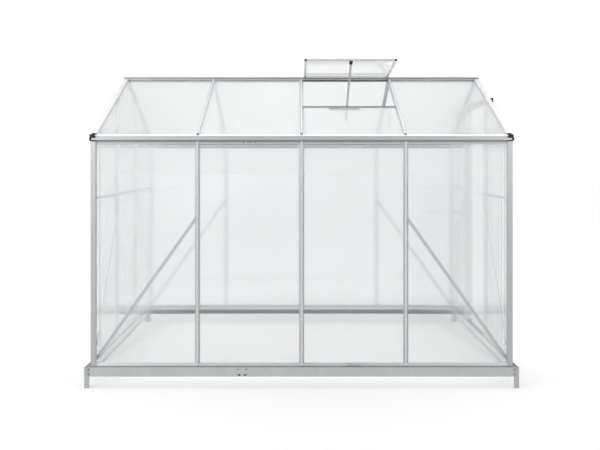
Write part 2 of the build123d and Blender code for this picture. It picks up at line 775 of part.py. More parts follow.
def door_hanger(y):
    """Plate on the door's top with a wheel on each side, inside the track."""
    x = HALF_L + DOOR_IN + DOOR_T / 2
    top = BASE_TOP + DOOR_TOP
    z = BASE_TOP + TRACK_Z + WALL_T + FIT + WHEEL_R
    half_t, half_w = HANGER_T / 2, HANGER_W / 2
    hanger = block(x - half_t, x + half_t, y - half_w, y + half_w, top, z + AXLE_R * 2)
    far = TRACK_SLOT / 2 + WHEEL_GAP + WHEEL_T / 2
    lie = Rot(0, RIGHT, 0)
    hanger += Pos(x, y, z) * lie * Cylinder(AXLE_R, far * 2)
    for side in (-far, far):
        hanger += Pos(x + side, y, z) * lie * Cylinder(WHEEL_R, WHEEL_T)
    return hanger


def rail_plates():
    """Plates over the joints of base, sill and eave, on both long sides."""
    out = -HALF_W - BASE_OUT
    half = BASE_PLATE_W / 2
    middle = LEG_DROP + BASE_H / 2
    low, high = middle - BASE_PLATE_H / 2, middle + BASE_PLATE_H / 2
    plates = [block(BASE_JOINT_X - half, BASE_JOINT_X + half, out - STEEL_T, out, low, high)]
    half = RAIL_PLATE_W / 2
    out = -HALF_W - SILL_LIP_IN - WALL_T
    low, high = FLOOR_Z, FLOOR_Z + SILL_PLATE_H
    plates.append(block(SILL_JOINT_X - half, SILL_JOINT_X + half, out - STEEL_T, out, low, high))
    out = -HALF_W - DRIP_IN - WALL_T
    low = EAVE_Z - EAVE_PLATE_H - FIT
    plates.append(block(EAVE_JOINT_X - half, EAVE_JOINT_X + half, out - STEEL_T, out, low, EAVE_Z - FIT))
    return plates + [turned(plate, BACK) for plate in plates]


def frame_nodes():
    """Pieces that stand still, by node."""
    inner = HALF_L - CHANNEL_IN
    gable_inner = HALF_W - CHANNEL_IN - FLAT_T
    base_front = cut_at(base_rail(HALF_W, HALF_L), BASE_JOINT_X)
    sill_front = cut_at(sill(HALF_W, inner, SILL_LIP_H), SILL_JOINT_X)
    sill_back = turned(cut_at(sill(HALF_W, inner, SILL_FLANGE_H), SILL_JOINT_X), BACK)
    eave_front = cut_at(eave(), EAVE_JOINT_X)
    base_end = turned(base_rail(HALF_L, HALF_W), RIGHT)
    sill_end = turned(sill(HALF_L, gable_inner, SILL_FLANGE_H), RIGHT)
    bars = [long_wall_bar(x) for x in BARS_LONG]
    jambs = [gable_bar(y) for y in BARS_WIDE]
    rafters = [roof_bar(x) for x in BARS_LONG]
    end_reach = HALF_W - CHANNEL_IN + CROSSBAR_LAP
    jamb_edge = BAY / 2 - CHANNEL_W / 2
    crossbars = [mirror(crossbar(-end_reach, end_reach), about=Plane.YZ)]
    crossbars += gable_pair(crossbar(jamb_edge, end_reach))
    braces = both_ends(wall_brace())
    return {
        "base_front_rail": [base_front],
        "base_back_rail": [turned(base_front, BACK)],
        "base_end_rails": both_ends(base_end),
        "ground_legs": four_corners(ground_leg()),
        "front_sill": [sill_front],
        "back_sill": [sill_back],
        "gable_sills": both_ends(sill_end),
        "rail_joint_plates": rail_plates(),
        "corner_posts": four_corners(corner_post()),
        "front_wall_bars": bars,
        "back_wall_bars": [turned(bar, BACK) for bar in bars],
        "left_gable_studs": [mirror(jamb, about=Plane.YZ) for jamb in jambs],
        "door_jambs": jambs,
        "front_eave": [eave_front],
        "back_eave": [turned(eave_front, BACK)],
        "eave_end_caps": four_corners(eave_cap()),
        "ridge": [ridge()],
        "ridge_end_caps": both_ends(ridge_cap()),
        "front_roof_bars": rafters,
        "back_roof_bars": [turned(bar, BACK) for bar in rafters],
        "gable_rafters": four_corners(gable_rafter()),
        "gable_crossbars": crossbars,
        "front_wall_braces": braces,
        "back_wall_braces": [turned(brace, BACK) for brace in braces],
        "gable_braces": four_corners(gable_brace()),
    }


def sheet_nodes():
    """Sheets of walls, gables and roof, by node."""
    bar, end = BAY / 2 + WEB_T / 2 + EDGE, HALF_W - CHANNEL_IN - WALL_T - EDGE - FIT
    low = FLOOR_Z + EDGE
    side = gable_sheet(bar, end, low)
    middle = BAY / 2 - WEB_T / 2 - EDGE
    over_door = gable_sheet(-middle, middle, BASE_TOP + HEADER_Z + HEADER_H + EDGE)
    left = [mirror(sheet, about=Plane.YZ) for sheet in (*gable_pair(side), gable_sheet(-middle, middle, low))]
    walls = long_wall_sheets()
    spans = bays_long()
    vent_bay = BAYS_LONG // 2
    vent_head = VENT_SILL_Y / COS + WALL_T + FIT
    front = [roof_sheet(span, vent_head if i == vent_bay else PANE_HEAD) for i, span in enumerate(spans)]
    return {
        "front_wall_sheets": walls,
        "back_wall_sheets": [turned(sheet, BACK) for sheet in walls],
        "left_gable_sheets": left,
        "right_gable_sheets": [*gable_pair(side), over_door],
        "front_roof_sheets": front,
        "back_roof_sheets": [turned(roof_sheet(span, PANE_HEAD), BACK) for span in spans],
    }


def vent_nodes():
    """Pieces of the open vent and its stay, by node."""
    lip = VENT_RAIL - VENT_GROOVE
    left = vent_stile(VENT_X0, VENT_X0 + VENT_RAIL, 1)
    right = vent_stile(VENT_X1 - VENT_RAIL, VENT_X1, -1)
    head = vent_rail(0, VENT_RAIL, lip, VENT_RAIL + VENT_GROOVE)
    foot_start = VENT_LEN - VENT_RAIL
    foot = vent_rail(foot_start, VENT_LEN, foot_start - VENT_GROOVE, foot_start + VENT_GROOVE)
    return {
        "vent_stiles": [left, right],
        "vent_rails": [head, foot],
        "vent_corner_caps": [vent_corner(VENT_X0), vent_corner(VENT_X1 - VENT_RAIL)],
        "vent_sheet": [vent_sheet()],
        "vent_sill_bar": [vent_sill()],
        "vent_catch_plate": [vent_catch()],
        "vent_stay": [vent_stay()],
        "vent_stay_fitting": [vent_fitting()],
    }


def door_nodes():
    """Door leaf, standing open, and the pieces that carry it, by node."""
    stile = door_stile()
    front_stile = Pos(0, BAY, 0) * mirror(Pos(0, -BAY, 0) * stile, about=Plane.XZ)
    return {
        "door_header": [door_header()],
        "door_track": [door_track()],
        "door_track_caps": track_caps(),
        "door_track_straps": track_straps(),
        "door_guide": [door_guide()],
        "door_stiles": [front_stile, stile],
        "door_rails": door_rails(),
        "door_sheets": door_sheets(),
        "door_hangers": [door_hanger(BAY - HANGER_Y), door_hanger(BAY + HANGER_Y)],
    }


os.makedirs("parts", exist_ok=True)
for nodes in (frame_nodes(), sheet_nodes(), vent_nodes(), door_nodes()):
    for node, pieces in nodes.items():
        save(node, pieces)
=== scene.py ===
"""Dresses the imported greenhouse: metal finishes, twin-wall sheets, eave lips, fasteners and a white studio.

Metres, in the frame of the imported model: +X along the length to the door gable, +Y to the back, +Z up.
"""

import math

import bmesh
import bpy
from bpy.props import FloatProperty, FloatVectorProperty, PointerProperty
from mathutils import Matrix, Vector


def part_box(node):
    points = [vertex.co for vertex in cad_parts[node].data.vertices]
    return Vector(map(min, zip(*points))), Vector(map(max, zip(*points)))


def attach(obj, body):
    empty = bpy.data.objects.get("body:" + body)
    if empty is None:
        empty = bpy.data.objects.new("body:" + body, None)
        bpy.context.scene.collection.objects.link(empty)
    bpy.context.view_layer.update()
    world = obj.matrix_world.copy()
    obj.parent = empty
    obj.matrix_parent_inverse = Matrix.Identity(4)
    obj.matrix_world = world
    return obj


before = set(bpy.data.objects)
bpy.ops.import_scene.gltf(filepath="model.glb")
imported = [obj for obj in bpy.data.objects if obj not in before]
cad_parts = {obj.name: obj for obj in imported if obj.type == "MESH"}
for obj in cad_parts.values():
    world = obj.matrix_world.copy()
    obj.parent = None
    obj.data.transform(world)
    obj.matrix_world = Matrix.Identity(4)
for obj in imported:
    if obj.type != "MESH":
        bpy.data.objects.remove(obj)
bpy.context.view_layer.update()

bl_info = {
    "name": "Greenhouse dresser",
    "version": (1, 0, 0),
    "blender": (4, 5, 0),
    "location": "View3D > Sidebar > Greenhouse",
    "description": "Finishes, sheets, fasteners and studio for a twin-wall greenhouse",
    "category": "Object",
}

MM = 0.001
FRAME_BODY = "frame"

# Corners of a mesh that are nearer than this are one corner
WELD_REACH = 0.01 * MM

# Twin-wall sheets: how far their faces stand back from the metal, how much less the gables and the vent are
# fluted and tinted than the long sides, how they bend light, and the colours of their haze and their shade
AIR_GAP = 0.15 * MM
ACROSS_X, ACROSS_Y = (1.0, 0.0, 0.0), (0.0, 1.0, 0.0)
GABLE_FLUTES, VENT_FLUTES, PALE_TINT = 1.0 / 3.0, 1.0 / 6.0, 0.4
FULL_BEND, SLIGHT_BEND = 1.5, 1.25
HAZE_COLOUR, HAZE_TURNED_BACK = (0.93, 0.94, 0.945, 1.0), 0.6
SHADE_COLOUR = (0.86, 0.865, 0.87, 1.0)
SHEET_ROUGH = 0.02

# Flutes: how slowly and how far their spacing wanders, and the slope between ribs as a share of that at a rib
WANDER_SCALE, WANDER_REACH, GENTLE_SHARE = 0.05, 3.0, 0.035

# Bare metal: roughness, height of its lines, Metallic of pale metal and darkness of its painted shade, how
# much darker and rougher lines and worn patches are, and tones of the plain colour: the bars' tone paints a
# highlight on them, the braces' and legs' tones make them darker, and the pale bolts' tone makes them lighter
SATIN, POLISHED, DULL_GREY, BOLT_ROUGH, PALE_BOLT_ROUGH = 0.34, 0.26, 0.42, 0.40, 0.45
LINE_RISE, FINE_LINE_RISE, BOLT_LINE_RISE = 0.05 * MM, 0.03 * MM, 0.02 * MM
PALE_METALLIC, SHADED = 0.5, 0.5
LINE_DARK, WEAR_DARK, LINE_ROUGH, WEAR_ROUGH = 0.07, 0.09, 0.10, 0.06
BAR_HIGHLIGHT_TONE, BRACE_TONE, LEG_TONE, PALE_BOLT_TONE = 1.2, 0.72, 0.86, 1.2

# Wall bars: distance apart, half width of the bead, how far it is rounded, and where its flanks start and end
BAY, BEAD_HALF, BEAD_LEAN = 600.0 * MM, 8.5 * MM, 0.35
FLANK_START, FLANK_END = BEAD_HALF * 0.6, BEAD_HALF * 0.9

# Front sill: how far its lip is rolled back
LIP_LEAN = 0.27

# Eave: drip edge below the gutter's floor, and how far down and how strongly the gutter shades it
DRIP_H, GUTTER_RISE, GUTTER_SHADE_LOW, GUTTER_SHADE = 9.0 * MM, 7.5 * MM, 5.5 * MM, 0.7

# Folded lip that hangs from the drip edge before each sheet: its section, its gaps, and each eave with its
# sheets and its outward way
LIP_DROP, LIP_THICK, LIP_FOLD = 8.0 * MM, 1.6 * MM, 0.8 * MM
LIP_CLEAR, LIP_INSET = 0.5 * MM, 1.6 * MM
LIP_SIDES = (("front_eave", "front_wall_sheets", -1.0), ("back_eave", "back_wall_sheets", 1.0))

# Galvanised steel: its spangle, how much darker flecks and weathered patches are, how dark the painted shade
# on ledges and inner sides is, how level a ledge is, and how far below its top a rail's inside is painted in
# shade
SPANGLES_PER_M, SPANGLE_RISE, ZINC_ROUGH, ZINC_METALLIC = 85.0, 0.2 * MM, (0.44, 0.56), 0.5
FLECK_DARK, WEATHER_DARK, PAINTED_SHADE_DARK = 0.08, 0.12, 0.68
LEDGE_LEVEL, FACING_IN = (0.6, 0.95), (-0.8, -0.4)
INNER_SHADE_FROM, INNER_SHADE_FULL = 5.0 * MM, 12.0 * MM

# Black plastic: height of its grain, roughness, and how much paler it is where it is rubbed
GRAIN_RISE, PLASTIC_ROUGH, RUBBED_TONE = 0.1 * MM, (0.42, 0.55), 1.8

# Bolts: where they sit along an eave's, a sill's and a base rail's joint plate, then on legs, base corners
# and braces; a plate above the given height is an eave's
EAVE_PLATE_BOLTS = (-32.0 * MM, -8.0 * MM, 8.0 * MM, 32.0 * MM)
SILL_PLATE_BOLTS, SILL_BOLTS_OUT = (-31.0 * MM, -10.0 * MM, 10.0 * MM, 31.0 * MM), 20.0 * MM
BASE_PLATE_BOLTS, BASE_BOLT_ROWS = (-25.0 * MM, 25.0 * MM), (-0.72, 0.72)
NUT_CAPS, NUT_CAPS_UP = (-14.5 * MM, 14.5 * MM), 3.0 * MM
LEG_BOLT_INSET, LEG_BOLT_LEVELS = 4.5 * MM, (0.26, 0.79)
CORNER_BOLTS = ((12.0 * MM, 70.0 * MM), (14.0 * MM, 24.0 * MM))
BRACE_BOLT_INSET = 15.0 * MM
EAVE_PLATES_ABOVE = 1.0

# Bolt shape as shares of the width across its flats, and each group's width as a share of the frame's bolt
WASHER_RADIUS, WASHER_H, HEAD_H, CHAMFER_H, CHAMFER_TOP = 0.78, 0.14, 0.6, 0.1, 0.86
WASHER_SIDES, HEAD_SIDES = 20, 6
JOINT_BOLT, LEG_BOLT, CORNER_BOLT, BRACE_BOLT, NUT_CAP = 0.58, 0.7, 0.7, 0.8, 0.66

# World: over which part of a ray's way, along each axis, its grey changes
LEFT_TO_RIGHT, LOW_TO_HIGH, FRONT_TO_BACK = (-0.8, 0.8), (0.05, 0.5), (-0.25, 0.3)
HORIZON, HORIZON_LEFT = (0.02, 0.06), (-0.35, -0.15)

# Floor: where it starts to show in the metal, the middle and edge of the shaded inside, how it is lifted
# beyond the left end as sheets show it, and the middle and spread of the lamps' pool
FLOOR_BEHIND = (-1.4, -0.4)
FLOOR_INSIDE, FLOOR_INSIDE_EDGE = (0.5, 0.1, 0.0), (1.2, 2.6)
FLOOR_BEYOND, FLOOR_BEYOND_LIFT = (-3.2, -1.2), (1.06, 0.95)
LAMP_POOL, LAMP_POOL_AREA = (0.0, -1.2, 0.0), 6.0

# Softboxes: place and size of each, and the point that all are aimed at
LAMP_AIM = (0.0, 0.0, 1.0)
OVERHEAD_PLACE, OVERHEAD_SIZE = (0.0, -0.6, 4.6), (5.0, 2.6)
LEFT_PLACE, RIGHT_PLACE, FILL_SIZE = (-4.2, -4.0, 3.2), (4.2, -4.0, 2.6), (2.4, 2.4)

# How far a finish's die lines are drawn out along each axis of a piece
LINES_ALONG_X = (0.004, 1.0, 1.0)
LINES_ALONG_Y = (1.0, 0.004, 1.0)
LINES_UPRIGHT = (1.0, 1.0, 0.004)
LINES_ON_SLOPE = (1.0, 0.02, 0.02)
LINES_ALL_WAYS = (1.0, 1.0, 1.0)

# Nodes by their finish
SILLS = ("front_sill",)
EAVES = ("front_eave", "back_eave")
WALL_BARS = ("front_wall_bars", "back_wall_bars")
BRACES = ("front_wall_braces", "back_wall_braces", "gable_braces")
RAILS_ACROSS = (
    "gable_sills",
    "gable_crossbars",
    "door_header",
    "door_track",
    "door_guide",
    "door_rails",
)
UPRIGHTS = (
    "corner_posts",
    "left_gable_studs",
    "door_jambs",
    "vent_stay",
    "door_stiles",
)
RAFTERS = ("front_roof_bars", "back_roof_bars", "gable_rafters", "vent_stiles")

# Plain extrusions: name of the finish, nodes, lines, and share of the aluminium's colour, which paints each
# group lighter or darker as light and shade fall on it
EXTRUSIONS = (
    ("rails_along", ("vent_rails",), LINES_ALONG_X, 1.0),
    ("rails_across", RAILS_ACROSS, LINES_ALONG_Y, 1.0),
    ("uprights", UPRIGHTS, LINES_UPRIGHT, 1.06),
    ("rafters", RAFTERS, LINES_ON_SLOPE, 0.93),
    ("ridge", ("ridge", "vent_sill_bar"), LINES_ALONG_X, 0.72),
    ("catch_plate", ("vent_catch_plate",), LINES_ALONG_X, 0.6),
    ("back_sill", ("back_sill",), LINES_ALONG_X, 0.7),
)
LEGS = ("ground_legs",)
GALVANISED = (
    "base_front_rail",
    "base_back_rail",
    "base_end_rails",
    "rail_joint_plates",
    "door_track_straps",
    "door_hangers",
)
BLACK_PLASTIC = (
    "eave_end_caps",
    "ridge_end_caps",
    "door_track_caps",
    "vent_stay_fitting",
    "vent_corner_caps",
)
SHEETS_ACROSS_X = (
    "front_wall_sheets",
    "back_wall_sheets",
    "front_roof_sheets",
    "back_roof_sheets",
)
VENT_SHEET = ("vent_sheet",)
SHEETS_ACROSS_Y = ("left_gable_sheets", "right_gable_sheets", "door_sheets")


class GreenhouseFinish(bpy.types.PropertyGroup):
    """Colours and sizes of the finishes that a user would change."""

    aluminium: FloatVectorProperty(
        name="Aluminium",
        description="Colour of the mill-finish extrusions",
        subtype="COLOR",
        default=(0.80, 0.81, 0.825),
        min=0.0,
        max=1.0,
    )
    galvanised: FloatVectorProperty(
        name="Galvanised steel",
        description="Colour of the folded base rails, legs and plates",
        subtype="COLOR",
        default=(0.74, 0.76, 0.77),
        min=0.0,
        max=1.0,
    )
    fastener: FloatVectorProperty(
        name="Fasteners",
        description="Colour of the zinc-plated bolts and nuts",
        subtype="COLOR",
        default=(0.30, 0.31, 0.32),
        min=0.0,
        max=1.0,
    )
    plastic: FloatVectorProperty(
        name="Black plastic",
        description="Colour of the moulded caps and fittings",
        subtype="COLOR",
        default=(0.012, 0.012, 0.013),
        min=0.0,
        max=1.0,
    )
    sheet: FloatVectorProperty(
        name="Sheet tint",
        description="Tint of light that passes through a twin-wall sheet",
        subtype="COLOR",
        default=(0.935, 0.943, 0.947),
        min=0.0,
        max=1.0,
    )
    sheet_haze: FloatProperty(
        name="Sheet haze",
        description="Share of a sheet that scatters light like milk glass",
        subtype="FACTOR",
        default=0.05,
        min=0.0,
        max=1.0,
    )
    flute_pitch: FloatProperty(
        name="Flute pitch",
        description="Distance from one inner rib of a sheet to the next",
        unit="LENGTH",
        default=5.7 * MM,
        min=MM,
    )
    flute_slope: FloatProperty(
        name="Flute slope",
        description="Steepest slope of a sheet's skin at a rib, which blurs what is behind it sideways",
        default=0.30,
        min=0.0,
    )
    flute_clear: FloatProperty(
        name="Clear share",
        description="Share of a flute's width that is nearly flat and stays clear",
        subtype="FACTOR",
        default=0.58,
        min=0.0,
        max=1.0,
    )
    bolt_width: FloatProperty(
        name="Bolt head",
        description="Width across the flats of the frame's bolt heads",
        unit="LENGTH",
        default=10.0 * MM,
        min=MM,
    )


class GreenhouseStudio(bpy.types.PropertyGroup):
    """Camera, floor and lamps."""

    camera_place: FloatVectorProperty(
        name="Camera",
        description="Where the level camera stands",
        subtype="TRANSLATION",
        unit="LENGTH",
        default=(-0.0095, -5.55, 1.312),
    )
    lens: FloatProperty(
        name="Lens",
        description="Focal length on a 36 mm wide sensor, in millimetres",
        default=48.42,
        min=1.0,
    )
    shift: FloatProperty(
        name="Shift",
        description="How far the frame is shifted down from the horizon, as a share of its width",
        default=-0.1108,
    )
    floor_size: FloatProperty(
        name="Floor",
        description="Length of the floor's sides",
        unit="LENGTH",
        default=120.0,
        min=1.0,
    )
    floor_grey: FloatProperty(
        name="Floor grey",
        description="Grey of the floor in front, as metal mirrors it",
        default=0.38,
        min=0.0,
        max=1.0,
    )
    floor_glow: FloatProperty(
        name="Floor glow",
        description="How much the floor is lifted to white where it is seen, far from the lamps",
        default=0.80,
        min=0.0,
        max=1.0,
    )
    lamp_pool: FloatProperty(
        name="Lamp pool",
        description="How much less the floor is lifted under the lamps",
        default=0.28,
        min=0.0,
        max=1.0,
    )
    inside_shade: FloatProperty(
        name="Inside shade",
        description="How much less the floor is lifted inside the greenhouse, where sheets shade it",
        subtype="FACTOR",
        default=0.30,
        min=0.0,
        max=1.0,
    )
    horizon_dim: FloatProperty(
        name="Horizon dim",
        description="How much less the world shows through sheets just above the floor's far edge",
        subtype="FACTOR",
        default=0.05,
        min=0.0,
        max=1.0,
    )
    sky_light: FloatProperty(
        name="Sky light",
        description="Strength of the even light from all round",
        default=0.55,
        min=0.0,
    )
    left_grey: FloatProperty(
        name="Front left",
        description="Brightness that metal mirrors from the left of the studio's front, beside the camera",
        default=1.0,
        min=0.0,
        max=1.0,
    )
    right_grey: FloatProperty(
        name="Front right",
        description="Brightness that metal mirrors from the right of the studio's front, beside the camera",
        default=0.58,
        min=0.0,
        max=1.0,
    )
    high_grey: FloatProperty(
        name="Front high",
        description="Share of that brightness that is left high up",
        subtype="FACTOR",
        default=0.60,
        min=0.0,
        max=1.0,
    )
    overhead: FloatProperty(
        name="Overhead lamp",
        description="Power of the softbox over the roof, in watts",
        default=105.0,
        min=0.0,
    )
    left_fill: FloatProperty(
        name="Left lamp",
        description="Power of the softbox at the front left, in watts",
        default=120.0,
        min=0.0,
    )
    right_fill: FloatProperty(
        name="Right lamp",
        description="Power of the softbox at the front right, in watts",
        default=70.0,
        min=0.0,
    )


# Node trees


class Tree:
    """Short ways to add and join the nodes of one tree."""

    def __init__(self, tree):
        self.tree = tree

    def add(self, kind, **settings):
        node = self.tree.nodes.new(kind)
        for name, value in settings.items():
            setattr(node, name, value)
        return node

    def feed(self, socket, value):
        if isinstance(value, bpy.types.NodeSocket):
            self.tree.links.new(value, socket)
        else:
            socket.default_value = value

    def maths(self, operation, first, second=0.0, third=None, clamp=False):
        node = self.add("ShaderNodeMath", operation=operation, use_clamp=clamp)
        for socket, value in zip(node.inputs, (first, second, third)):
            if value is not None:
                self.feed(socket, value)
        return node.outputs[0]

    def vector(self, operation, first, second=None):
        node = self.add("ShaderNodeVectorMath", operation=operation)
        self.feed(node.inputs[0], first)
        if second is not None:
            self.feed(node.inputs["Scale" if operation == "SCALE" else 1], second)
        return node.outputs["Value" if operation in ("DOT_PRODUCT", "LENGTH") else "Vector"]

    def place(self):
        return self.add("ShaderNodeTexCoord").outputs["Object"]

    def parts(self, vector):
        node = self.add("ShaderNodeSeparateXYZ")
        self.feed(node.inputs[0], vector)
        return node.outputs

    def map_range(self, kind, value, low, high, from_low, from_high):
        node = self.add("ShaderNodeMapRange", interpolation_type=kind)
        ends = {"From Min": from_low, "From Max": from_high, "To Min": low, "To Max": high}
        self.feed(node.inputs["Value"], value)
        for label, number in ends.items():
            self.feed(node.inputs[label], number)
        return node.outputs["Result"]

    def straight(self, value, low, high, from_low, from_high):
        return self.map_range("LINEAR", value, low, high, from_low, from_high)

    def spread(self, value, low, high, from_low=0.0, from_high=1.0):
        return self.map_range("SMOOTHSTEP", value, low, high, from_low, from_high)

    def mix_colour(self, share, first, second):
        node = self.add("ShaderNodeMix", data_type="RGBA")
        self.feed(node.inputs["Factor"], share)
        self.feed(node.inputs["A"], first)
        self.feed(node.inputs["B"], second)
        return node.outputs["Result"]

    def mix_shader(self, share, first, second):
        node = self.add("ShaderNodeMixShader")
        self.feed(node.inputs[0], share)
        self.feed(node.inputs[1], first)
        self.feed(node.inputs[2], second)
        return node.outputs[0]


def new_group(name, entries, results):
    """Shader node group with its named sockets, its input node and its output node."""
    group = bpy.data.node_groups.new(name, "ShaderNodeTree")
    for label, kind, value in entries:
        socket = group.interface.new_socket(name=label, in_out="INPUT", socket_type=kind)
        socket.default_value = value
    for label, kind in results:
        group.interface.new_socket(name=label, in_out="OUTPUT", socket_type=kind)
    tree = Tree(group)
    return tree, tree.add("NodeGroupInput"), tree.add("NodeGroupOutput")


def die_lines_group():
    """Fine lines that a die leaves along an extrusion."""
    entries = [
        ("Stretch", "NodeSocketVector", (1.0, 1.0, 1.0)),
        ("Fineness", "NodeSocketFloat", 900.0),
    ]
    tree, entry, leave = new_group("Die lines", entries, [("Lines", "NodeSocketFloat")])
    noise = tree.add("ShaderNodeTexNoise")
    tree.feed(noise.inputs["Vector"], tree.vector("MULTIPLY", tree.place(), entry.outputs["Stretch"]))
    tree.feed(noise.inputs["Scale"], entry.outputs["Fineness"])
    tree.feed(noise.inputs["Detail"], 3.0)
    tree.feed(leave.inputs["Lines"], tree.spread(noise.outputs["Fac"], 0.0, 1.0, 0.3, 0.7))
    return tree.tree


def handling_group():
    """Soft patches left by handling and weather."""
    entries = [("Size", "NodeSocketFloat", 6.0), ("Sharpness", "NodeSocketFloat", 0.2)]
    tree, entry, leave = new_group("Handling patches", entries, [("Patches", "NodeSocketFloat")])
    noise = tree.add("ShaderNodeTexNoise")
    tree.feed(noise.inputs["Vector"], tree.place())
    tree.feed(noise.inputs["Scale"], entry.outputs["Size"])
    tree.feed(noise.inputs["Detail"], 5.0)
    low = tree.maths("ADD", entry.outputs["Sharpness"], 0.1)
    high = tree.maths("SUBTRACT", 0.9, entry.outputs["Sharpness"])
    tree.feed(leave.inputs["Patches"], tree.spread(noise.outputs["Fac"], 0.0, 1.0, low, high))
    return tree.tree


def flutes_group():
    """Lean of a fluted skin's normal: nearly none between the ribs, and as on a lens at each rib."""
    entries = [
        ("Across", "NodeSocketVector", (1.0, 0.0, 0.0)),
        ("Pitch", "NodeSocketFloat", 0.006),
        ("Clear", "NodeSocketFloat", 0.4),
        ("Slope", "NodeSocketFloat", 0.3),
    ]
    tree, entry, leave = new_group("Flutes", entries, [("Lean", "NodeSocketVector")])
    across, steep, clear = (entry.outputs[label] for label in ("Across", "Slope", "Clear"))
    count = tree.maths("DIVIDE", tree.vector("DOT_PRODUCT", tree.place(), across), entry.outputs["Pitch"])
    drift = tree.add("ShaderNodeTexNoise", noise_dimensions="1D")
    tree.feed(drift.inputs["W"], count)
    tree.feed(drift.inputs["Scale"], WANDER_SCALE)
    wandering = tree.maths("ADD", count, tree.maths("MULTIPLY", drift.outputs["Fac"], WANDER_REACH))
    share = tree.maths("FRACT", wandering)
    gentle = tree.maths("MULTIPLY", steep, GENTLE_SHARE)
    flat = tree.straight(share, tree.maths("MULTIPLY", gentle, -1.0), gentle, 0.0, clear)
    round_rib = tree.straight(share, tree.maths("MULTIPLY", steep, -1.0), steep, clear, 1.0)
    slope = tree.add("ShaderNodeMix", data_type="FLOAT")
    tree.feed(slope.inputs["Factor"], tree.maths("GREATER_THAN", share, clear))
    tree.feed(slope.inputs["A"], flat)
    tree.feed(slope.inputs["B"], round_rib)
    tree.feed(leave.inputs["Lean"], tree.vector("SCALE", across, slope.outputs["Result"]))
    return tree.tree


GROUPS = {}


def place_group(tree, name, **values):
    """Group node of a shared effect, with its own values."""
    makers = {"die_lines": die_lines_group, "handling": handling_group, "flutes": flutes_group}
    if name not in GROUPS:
        GROUPS[name] = makers[name]()
    node = tree.add("ShaderNodeGroup", node_tree=GROUPS[name])
    for label, value in values.items():
        tree.feed(node.inputs[label], value)
    return node.outputs[0]


def new_material(name):
    """Empty material, its tree, and its output node."""
    material = bpy.data.materials.new(name)
    material.use_nodes = True
    material.node_tree.nodes.clear()
    tree = Tree(material.node_tree)
    return material, tree, tree.add("ShaderNodeOutputMaterial")


def toned(colour, tone):
    """Colour times a tone, white at most."""
    return tuple(min(channel * tone, 1.0) for channel in colour)


def darker(colour, share=0.0):
    """Colour with alpha, darkened by a share."""
    return (*(channel * (1.0 - share) for channel in colour), 1.0)


def leaned_normal(tree, lean):
    """Surface normal turned toward a lean."""
    normal = tree.add("ShaderNodeNewGeometry").outputs["Normal"]
    return tree.vector("NORMALIZE", tree.vector("ADD", normal, lean))


def rolled_lip(tree):
    """Normal of an upright lip that is rolled back at its top."""
    return leaned_normal(tree, (0.0, 0.0, LIP_LEAN))


def off_bar(tree):
    """Distance along X from the middle of the nearest bar, for bars that stand a bay apart."""
    return tree.maths("WRAP", tree.parts(tree.place())["X"], BAY / 2, -BAY / 2)


def rounded_bead(tree):
    """Normal that rounds off the bars' beads."""
    lean = tree.add("ShaderNodeCombineXYZ")
    tree.feed(lean.inputs["X"], tree.straight(off_bar(tree), -BEAD_LEAN, BEAD_LEAN, -BEAD_HALF, BEAD_HALF))
    return leaned_normal(tree, lean.outputs[0])


def bar_flanks(tree):
    """Mask of the bars' flanks, which stand in the shade of their beads."""
    return tree.spread(tree.maths("ABSOLUTE", off_bar(tree)), 0.0, 1.0, FLANK_START, FLANK_END)


def under_gutter(tree):
    """Mask of the eave's rear wall and most of its drip edge, in the shade under the gutter's floor."""
    height = tree.parts(tree.place())["Z"]
    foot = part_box("front_eave")[0].z + DRIP_H
    low, high = foot - GUTTER_SHADE_LOW, foot + GUTTER_RISE
    above = tree.spread(height, 0.0, GUTTER_SHADE, low - MM, low)
    below = tree.spread(height, 1.0, 0.0, high - MM, high)
    return tree.maths("MULTIPLY", above, below)


def bumped(tree, shader, height, strength, rise):
    """Bump node that gives a shader its normal."""
    bump = tree.add("ShaderNodeBump")
    bump.inputs["Strength"].default_value = strength
    bump.inputs["Distance"].default_value = rise
    tree.feed(bump.inputs["Height"], height)
    tree.feed(shader.inputs["Normal"], bump.outputs["Normal"])
    return bump


def metal(name, colour, stretch, roughness, line_rise, shape=None, shade=None, metallic=1.0):
    """Bare metal with die lines and soft patches; shape gives its normal, shade a mask of places that get
    painted shade.
    """
    material, tree, output = new_material(name)
    lines = place_group(tree, "die_lines", Stretch=stretch, Fineness=900.0)
    patches = place_group(tree, "handling", Size=7.0, Sharpness=0.2)
    shader = tree.add("ShaderNodeBsdfPrincipled")
    streaked = tree.mix_colour(lines, darker(colour), darker(colour, LINE_DARK))
    wear_and_painted_shade = tree.mix_colour(patches, streaked, darker(colour, WEAR_DARK))
    # Painted shade: where the shade mask lies, the colour is darkened as if in shade
    if shade:
        wear_and_painted_shade = tree.mix_colour(shade(tree), wear_and_painted_shade, darker(colour, SHADED))
    tree.feed(shader.inputs["Base Color"], wear_and_painted_shade)
    shader.inputs["Metallic"].default_value = metallic
    streaked_rough = tree.maths("MULTIPLY_ADD", lines, LINE_ROUGH, roughness)
    tree.feed(shader.inputs["Roughness"], tree.maths("MULTIPLY_ADD", patches, WEAR_ROUGH, streaked_rough))
    bump = bumped(tree, shader, lines, strength=0.4, rise=line_rise)
    if shape:
        tree.feed(bump.inputs["Normal"], shape(tree))
    tree.feed(output.inputs["Surface"], shader.outputs[0])
    return material


def painted_shade_places(tree):
    """Mask of painted shade: the base's ledges, and its sides that face inward below a rail's top."""
    place = tree.place()
    normal = tree.add("ShaderNodeNewGeometry").outputs["Normal"]
    ledge = tree.spread(tree.parts(normal)["Z"], 0.0, 1.0, *LEDGE_LEVEL)
    outward = tree.vector("DOT_PRODUCT", normal, place)
    inner = tree.spread(outward, 1.0, 0.0, *FACING_IN)
    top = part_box("base_back_rail")[1].z
    low = tree.spread(tree.parts(place)["Z"], 1.0, 0.0, top - INNER_SHADE_FULL, top - INNER_SHADE_FROM)
    return tree.maths("MAXIMUM", ledge, tree.maths("MULTIPLY", inner, low))


